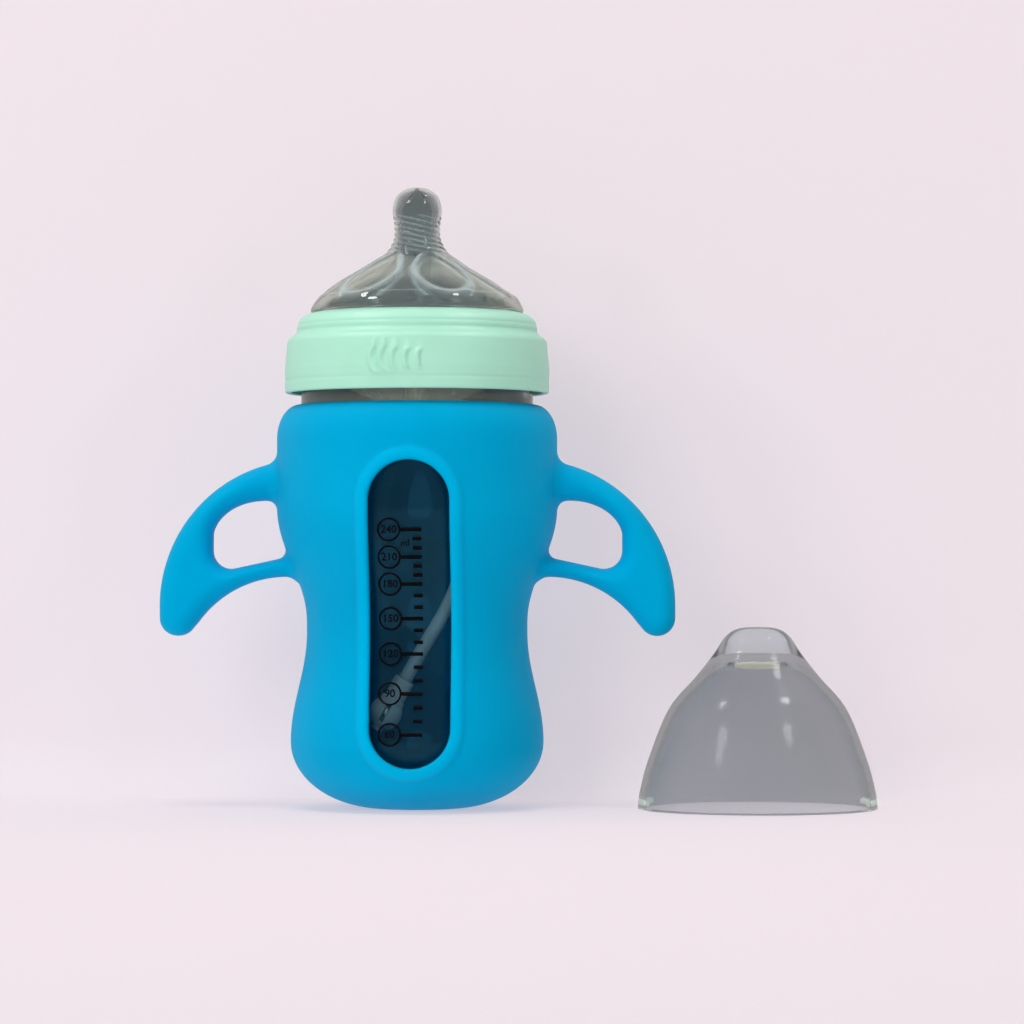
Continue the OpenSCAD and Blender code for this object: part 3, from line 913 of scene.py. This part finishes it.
def make_collar():
    band = [(COLLAR_R, COLLAR_Z + 0.6), (COLLAR_R, BAND_LEAN_Z), (COLLAR_R - 0.4, BAND_TOP_Z)]
    bore = [(COLLAR_BORE_R, BORE_TOP_Z), (COLLAR_BORE_R, COLLAR_Z + 0.5)]
    outline = np.vstack([
        arc((COLLAR_BORE_R + 0.5, COLLAR_Z + 0.5), 0.5, 0.5, 180, 270, 4),
        arc((COLLAR_R - 0.6, COLLAR_Z + 0.6), 0.6, 0.6, 270, 360, 5),
        dense(band, 0.3)[1:],
        dense(arc(SHOULDER, SHOULDER_W, SHOULDER_H, 5, 80, 10), 0.3),
        dense(arc(STEP, STEP_W, STEP_H, -12, 80, 20), 0.3),
        arc((COLLAR_MOUTH_R + 0.4, COLLAR_TOP - 0.4), 0.4, 0.4, 90, 180, 4),
        [(COLLAR_MOUTH_R, CEILING_Z), (CEILING_R, CEILING_Z), (CEILING_R, LEDGE_Z)],
        [(COLLAR_BORE_R - 0.4, BORE_TOP_Z + 0.4)],
        dense(bore, 0.5),
    ])

    def relief(r, z, angle):
        front = np.degrees(angle) + 90
        turn = (front + 180 / MARK_GROUPS) % (360 / MARK_GROUPS) - 180 / MARK_GROUPS
        along = np.radians(turn) * COLLAR_R
        band_face = (r > COLLAR_R - 1.2) & (z < LEDGE_Z - 0.7)
        outside = (r > CEILING_R + 0.3) & (z > LEDGE_Z + 0.3) | band_face
        creases = sum(np.exp(-(((z - at) / CREASE_W) ** 2)) for at in CREASE_Z)
        inner = (np.abs(r - COLLAR_BORE_R) < 0.01) & (z < BORE_TOP_Z - 0.2)
        r = r + band_face * MARK_RISE * crescents(along, z) - outside * CREASE_DEPTH * creases
        return r - inner * RIDGE_H * thread(angle, z, THREAD_Z - PITCH / 6, 120, COLLAR_TURNS), z

    points, faces = revolve(outline, 720, relief)
    make_piece(
        "screw_collar", points, faces, MATERIALS["collar"], "collar",
        replaces=["collar"],
    )


make_collar()


# ---------- 10. Teat and adapter ----------

teat_lo, teat_hi = node_box("teat")
FLANGE_Z, TEAT_TOP = teat_lo[2], teat_hi[2]
FLANGE_R, FLANGE_BORE_R, FLANGE_T = 31.8, 27.2, 2
GROOVE_R = COLLAR_MOUTH_R - 0.5
SKIN_Z = COLLAR_TOP + 0.4
FLOW_R, FLOW_FOOT = 0.5, 174.9
DOME = [
    (30.2, SKIN_Z), (28.4, 144.4), (22.7, 149.1), (14.9, 153.8), (9.2, 157.6),
    (6.7, 161.8), (6.4, 165.5), (7, 170.2), (5.9, 174.1), (3.3, 176.2), (1.6, TEAT_TOP),
]
HOLLOW = [
    (3.4, 173.3), (4.7, 170.2), (4.3, 166), (4.7, 161.2), (7.3, 156.4), (12.9, 152.4),
    (20.4, 148), (25.4, 143.8), (FLANGE_BORE_R, 140.6), (FLANGE_BORE_R, FLANGE_Z),
]
PETALS = 6
PETAL_TURN = math.radians(-126)  # the front petal on the left of the middle
PETAL_NEAR, PETAL_FAR, PETAL_HALF = 8, 28, 7.8
PETAL_LINE, PETAL_RISE, PETAL_FOOT = 1.9, 0.4, 143.4
PETAL_TOP = 160
BAND_TOP, BAND_RISE = 146, 0.35
RIDGE_STEP, RIDGE_RISE, RIDGE_STARTS = 1.5, 0.17, 6
RIDGE_FOOT, RIDGE_TOP = 157.5, 169
RIDGE_CREST_HIGHLIGHT = 0.7  # how strongly the crests of the nipple's ridges are painted pale, next to the petals: a painted highlight along each crest
RING_R, RING_W, RING_DEPTH = 2.4, 0.4, 0.15  # a shallow ring round the flow hole


def petals(r, angle):
    """The outlines of six teardrop petals that widen outward from the root of the nipple."""
    step = 2 * np.pi / PETALS
    turn = (angle - PETAL_TURN + step / 2) % step - step / 2
    along, across = r * np.cos(turn), r * np.sin(turn)
    round_end = PETAL_FAR - PETAL_HALF
    t = np.clip((along - PETAL_NEAR) / (round_end - PETAL_NEAR), 0, 1)
    side = np.abs(across) - PETAL_HALF * np.sin(np.pi / 2 * t) ** 0.9
    end = np.hypot(across, along - round_end) - PETAL_HALF
    off = np.where(along < round_end, side, end)
    bead = np.clip(1 - np.abs(off) / PETAL_LINE, 0, 1)
    fade = np.clip((r - PETAL_NEAR) / 3, 0, 1)
    return bead**2 * (3 - 2 * bead) * fade


def ridge_wave(z, angle):
    """The wave of the nipple's spiral grip ridges, from -1 in a valley to 1 on a crest."""
    return np.cos(2 * np.pi * z / RIDGE_STEP + RIDGE_STARTS * angle)


def make_teat():
    curve = smooth(DOME, 8)
    nipple = curve[:, 1] > RIDGE_FOOT - 0.5
    dome = np.vstack([dense(curve[~nipple], 0.4), dense(curve[nipple], 0.22)])
    hollow = dense(smooth(HOLLOW, 8), 0.6)
    outline = np.vstack([
        [(FLANGE_BORE_R, FLANGE_Z), (FLANGE_R - 0.3, FLANGE_Z), (FLANGE_R, FLANGE_Z + 0.3)],
        [(FLANGE_R, FLANGE_Z + FLANGE_T - 0.3), (FLANGE_R - 0.3, FLANGE_Z + FLANGE_T)],
        [(GROOVE_R, FLANGE_Z + FLANGE_T), (GROOVE_R, SKIN_Z - 0.1)], dome,
        [(FLOW_R + 0.3, TEAT_TOP), (FLOW_R, TEAT_TOP - 0.3)],
        [(FLOW_R, FLOW_FOOT), (FLOW_R + 0.2, FLOW_FOOT - 0.3)],
        hollow[:-1],
    ])

    def relief(r, z, angle):
        outer = r > np.interp(z, *dome[:, ::-1].T) - 0.1
        line = petals(r, angle) * outer * (z > PETAL_FOOT) * (z < PETAL_TOP - 1)
        band = BAND_RISE * outer * np.clip((z - SKIN_Z) / 0.5, 0, 1) * np.clip((BAND_TOP - z) / 0.5, 0, 1)
        fade = np.clip((z - RIDGE_FOOT) / 1.5, 0, 1) * np.clip((RIDGE_TOP - z) / 1.5, 0, 1)
        ridges = RIDGE_RISE * outer * fade * ridge_wave(z, angle)
        ring = RING_DEPTH * np.exp(-(((r - RING_R) / RING_W) ** 2)) * (z > TEAT_TOP - 1.5)
        return r + ridges + band + 0.35 * PETAL_RISE * line, z + PETAL_RISE * line - ring

    points, faces = revolve(outline, 360, relief)
    x, y, z = points.T
    r, angle = np.hypot(x, y), np.arctan2(y, x)
    on_dome = (z > PETAL_FOOT) & (z < PETAL_TOP)
    on_nipple = (z > RIDGE_FOOT + 0.5) & (z < RIDGE_TOP - 0.5) & (r > FLOW_R + 3)
    # The ridge crests take the pale mark as a painted highlight. The petals' outlines take it as their
    # milky colour.
    crests = np.clip(ridge_wave(z, angle), 0, 1) ** 2
    marks = petals(r, angle) * on_dome + RIDGE_CREST_HIGHLIGHT * crests * on_nipple
    make_piece(
        "silicone_teat", points, faces, MATERIALS["teat"], "teat",
        replaces=["teat"], marks=marks,
    )


def make_adapter():
    lo, hi = node_box("straw_adapter")
    disc_r, disc_z, disc_t = hi[0], LIP_Z + 0.3, 1
    hub_r, channel_r = 4, 1.2
    socket_r, socket_z = STRAW_D / 2 + 0.4, lo[2] + 5
    outline = np.vstack([
        [(hub_r - 0.3, lo[2]), (hub_r, lo[2] + 0.3), (hub_r, disc_z - 1.2)],
        arc((hub_r + 1.2, disc_z - 1.2), 1.2, 1.2, 180, 90, 6),
        [(disc_r - 0.3, disc_z), (disc_r, disc_z + 0.3), (disc_r, disc_z + disc_t - 0.3)],
        [(disc_r - 0.3, disc_z + disc_t), (hub_r + 0.8, disc_z + disc_t)],
        arc((hub_r + 0.8, disc_z + disc_t + 0.8), 0.8, 0.8, 270, 180, 5),
        [(hub_r, hi[2] - 0.3), (hub_r - 0.3, hi[2]), (channel_r + 0.2, hi[2]), (channel_r, hi[2] - 0.2)],
        [(channel_r, socket_z), (socket_r, socket_z), (socket_r, lo[2] + 0.2), (socket_r + 0.2, lo[2])],
    ])
    points, faces = revolve(outline, 128)
    make_piece(
        "straw_adapter_disc", points, faces, MATERIALS["adapter"], "teat",
        replaces=["straw_adapter"],
    )


make_teat()
make_adapter()


# ---------- 11. Cap ----------

cap_lo, cap_hi = node_box("cap")
CAP_X = (cap_lo[0] + cap_hi[0]) / 2
CAP_R, CAP_H = (cap_hi[0] - cap_lo[0]) / 2, cap_hi[2]
BELL = [
    (CAP_R, 0.4), (33.4, 5), (31, 14), (25.2, 28.3), (17.4, 37.6),
    (12.4, 44), (9, 49), (5.3, 51.2), (0, CAP_H),
]
BELL_HOLLOW = [
    (0, 42), (7.4, 42), (10.8, 40.6), (15.9, 36.4), (23.7, 27.4), (29.4, 13.6), (31.8, 5), (32.4, 0.4),
]
BELL_RIM = [(32.6, 0.1), (32.9, 0), (CAP_R - 0.4, 0), (CAP_R - 0.1, 0.1)]
PAD_R, PAD_Z, PAD_TOP = 6.5, 41.2, 41.9
TIP_FADE = 4  # the height over which the cap's solid tip takes on a paler tint, painted light that brightens the thick tip
RIB_SWEEP = 35  # degrees
RIB_R, RIB_Z, RIB_THICK = 32.0, 1.9, 0.85
RIB_STEPS, RIB_SIDES = 49, 14


def at_cap(points):
    """Moves points from the bottle's axis to the cap's."""
    return points + np.array((CAP_X, 0, 0))


def make_cap():
    outline = np.vstack([smooth(BELL_HOLLOW), BELL_RIM, smooth(BELL)])
    points, faces = revolve(outline, 256)
    points, faces = drop_unused(points, faces)
    # This mask rises over the solid tip, where the cap is tinted paler as painted light.
    thick = np.clip((points[:, 2] - PAD_Z) / TIP_FADE, 0, 1)
    make_piece(
        "clear_cap", at_cap(points), faces, MATERIALS["cap"], "cap",
        replaces=["cap"], marks=thick,
    )
    pad = np.vstack([
        [(0, PAD_Z)],
        arc((PAD_R - 0.5, PAD_Z + 0.5), 0.5, 0.5, 270, 360, 5),
        [(PAD_R, PAD_TOP), (0, PAD_TOP)],
    ])
    points, faces = drop_unused(*revolve(pad, 96))
    make_piece("cap_pad", at_cap(points), faces, MATERIALS["pad"], "cap")
    for side, name in ((0, "cap_rib_right"), (math.pi, "cap_rib_left")):
        make_rib(name, side)


def make_rib(name, side):
    """A snap rib: a bead with round ends, inside the cap's rim."""
    sweep = math.radians(RIB_SWEEP)
    angle = np.linspace(-sweep / 2, sweep / 2, RIB_STEPS)
    turn = np.linspace(0, 2 * np.pi, RIB_SIDES, endpoint=False)
    edge = np.clip((sweep / 2 - np.abs(angle)) * RIB_R / RIB_THICK, 0, 1)
    sizes = RIB_THICK * np.sqrt(np.maximum(1 - (1 - edge) ** 2, 1e-4))
    points, faces = [], []
    for a, size in zip(angle, sizes):
        r, z = RIB_R + size * np.cos(turn), RIB_Z + size * np.sin(turn)
        points.append(np.stack([r * np.cos(a + side), r * np.sin(a + side), z], 1))
    last = (RIB_STEPS - 1) * RIB_SIDES
    for row in range(0, last, RIB_SIDES):
        for k in range(RIB_SIDES):
            j = (k + 1) % RIB_SIDES
            faces.append([row + k, row + RIB_SIDES + k, row + RIB_SIDES + j, row + j])
    faces.append(list(range(RIB_SIDES)))
    faces.append([last + k for k in reversed(range(RIB_SIDES))])
    make_piece(name, at_cap(np.concatenate(points)), faces, MATERIALS["rib"], "cap")


make_cap()


# ---------- 12. Studio ----------

PAPER = srgb(240, 230, 235)
PAPER_LIT = 0.5  # how much of the paper's colour is left to the lamps
FLOOR_HALF, WALL_Y, WALL_TOP, BEND_R = 1500, 60, 1500, 18
PAPER_GLOW, MIRRORED_GLOW, MIRROR_LOSS, AMBIENT = 0.53, 0.6, 0.6, 0.22
SUBJECT = (20, 0, 80)  # what the lamps point at
# Lamps: name, place, width and height in millimetres, power in watts
SOFT_LAMPS = [
    ("key_lamp", (-900, -2150, 900), (950, 950), 15.5),
    ("top_lamp", (-60, -300, 1250), (600, 500), 5.6),
    ("left_fill", (-820, -860, 420), (180, 180), 1.6),
    ("right_fill", (820, -860, 420), (180, 180), 0.9),
]
SPARKS = [
    ("left_spark", (-770, -800, 880), (230, 230), 3.6),
    ("left_high_spark", (-600, -150, 1150), (200, 200), 4),
    ("right_spark", (770, -800, 880), (230, 230), 3.6),
    ("right_high_spark", (600, -150, 1150), (200, 200), 4),
]


def studio_paper():
    """Pale pink paper that can be seen through from behind, so that any view is clear.

    Half of its brightness is its own, which keeps it even, and reflections show it dimmed.
    """
    lit = [PAPER_LIT * c for c in PAPER[:3]] + [1]
    look = Look("studio_paper", lit, 0.9, Specular_IOR_Level=0)
    look.vary_roughness(look.noise(40), 0.85, 0.95)
    look.shader.inputs["Emission Color"].default_value = PAPER
    look.shader.inputs["Emission Strength"].default_value = PAPER_GLOW
    geometry = look.nodes.new("ShaderNodeNewGeometry")
    path = look.nodes.new("ShaderNodeLightPath")
    clear = look.nodes.new("ShaderNodeBsdfTransparent")
    dim = look.nodes.new("ShaderNodeEmission")
    dim.inputs["Color"].default_value = PAPER
    dim.inputs["Strength"].default_value = MIRRORED_GLOW
    reflected, open_back = look.nodes.new("ShaderNodeMixShader"), look.nodes.new("ShaderNodeMixShader")
    in_mirror = look.nodes.new("ShaderNodeMath")
    in_mirror.operation = "MINIMUM"
    look.links.new(path.outputs["Glossy Depth"], in_mirror.inputs[0])
    in_mirror.inputs[1].default_value = 1
    look.links.new(in_mirror.outputs["Value"], reflected.inputs["Fac"])
    look.links.new(look.shader.outputs["BSDF"], reflected.inputs[1])
    look.links.new(dim.outputs["Emission"], reflected.inputs[2])
    look.links.new(geometry.outputs["Backfacing"], open_back.inputs["Fac"])
    look.links.new(reflected.outputs["Shader"], open_back.inputs[1])
    look.links.new(clear.outputs["BSDF"], open_back.inputs[2])
    look.links.new(open_back.outputs["Shader"], look.nodes["Material Output"].inputs["Surface"])
    return look.material


def make_floor():
    """Two sheets of paper: the floor with a bend and a wall behind, and more floor behind the wall."""
    bend = arc((WALL_Y - BEND_R, BEND_R), BEND_R, BEND_R, -90, 0, 24)
    paper = studio_paper()
    for name, line in (
        ("studio_floor", np.vstack([[(-FLOOR_HALF, 0)], bend, [(WALL_Y, WALL_TOP)]])),
        ("studio_floor_behind", [(WALL_Y - BEND_R, -0.05), (FLOOR_HALF, -0.05)]),
    ):
        points = [(x, y, z) for y, z in line for x in (-FLOOR_HALF, FLOOR_HALF)]
        faces = [[2 * i, 2 * i + 1, 2 * i + 3, 2 * i + 2] for i in range(len(line) - 1)]
        make_piece(name, points, faces, paper, None)


def make_world():
    """Soft light from all round, and plain paper wherever the eye looks past the studio."""
    world = bpy.data.worlds.new("studio")
    world.use_nodes = True
    nodes, links = world.node_tree.nodes, world.node_tree.links
    light = nodes["Background"]
    light.inputs["Color"].default_value = srgb(252, 248, 250)
    light.inputs["Strength"].default_value = AMBIENT
    seen = nodes.new("ShaderNodeBackground")
    seen.inputs["Color"].default_value = PAPER
    path = nodes.new("ShaderNodeLightPath")
    looking = nodes.new("ShaderNodeMath")
    looking.operation = "MAXIMUM"
    links.new(path.outputs["Is Camera Ray"], looking.inputs[0])
    links.new(path.outputs["Is Transmission Ray"], looking.inputs[1])
    mix = nodes.new("ShaderNodeMixShader")
    straight = nodes.new("ShaderNodeMath")
    straight.operation, straight.use_clamp = "MULTIPLY_ADD", True
    links.new(path.outputs["Glossy Depth"], straight.inputs[0])
    straight.inputs[1].default_value = -MIRROR_LOSS
    links.new(looking.outputs["Value"], straight.inputs[2])
    links.new(straight.outputs["Value"], mix.inputs["Fac"])
    links.new(light.outputs["Background"], mix.inputs[1])
    links.new(seen.outputs["Background"], mix.inputs[2])
    links.new(mix.outputs["Shader"], nodes["World Output"].inputs["Surface"])
    bpy.context.scene.world = world


def lamp(name, place, size, power, mirrored=False):
    """A flat lamp that points at the subject. A mirrored one is round and only makes highlights."""
    data = bpy.data.lights.new(name, "AREA")
    data.shape = "ELLIPSE" if mirrored else "RECTANGLE"
    data.size, data.size_y = size[0] * MM, size[1] * MM
    data.energy = power
    light = bpy.data.objects.new(name, data)
    light.location = Vector(place) * MM
    aim = Vector(SUBJECT) * MM - light.location
    light.rotation_euler = aim.to_track_quat("-Z", "Y").to_euler()
    light.visible_glossy = mirrored
    light.visible_transmission = mirrored
    light.visible_diffuse = not mirrored
    bpy.context.scene.collection.objects.link(light)


def make_lights():
    for name, place, size, power in SOFT_LAMPS:
        lamp(name, place, size, power)
    for name, place, size, power in SPARKS:
        lamp(name, place, size, power, mirrored=True)


make_floor()
make_world()
make_lights()
bpy.context.scene.view_settings.view_transform = "Standard"
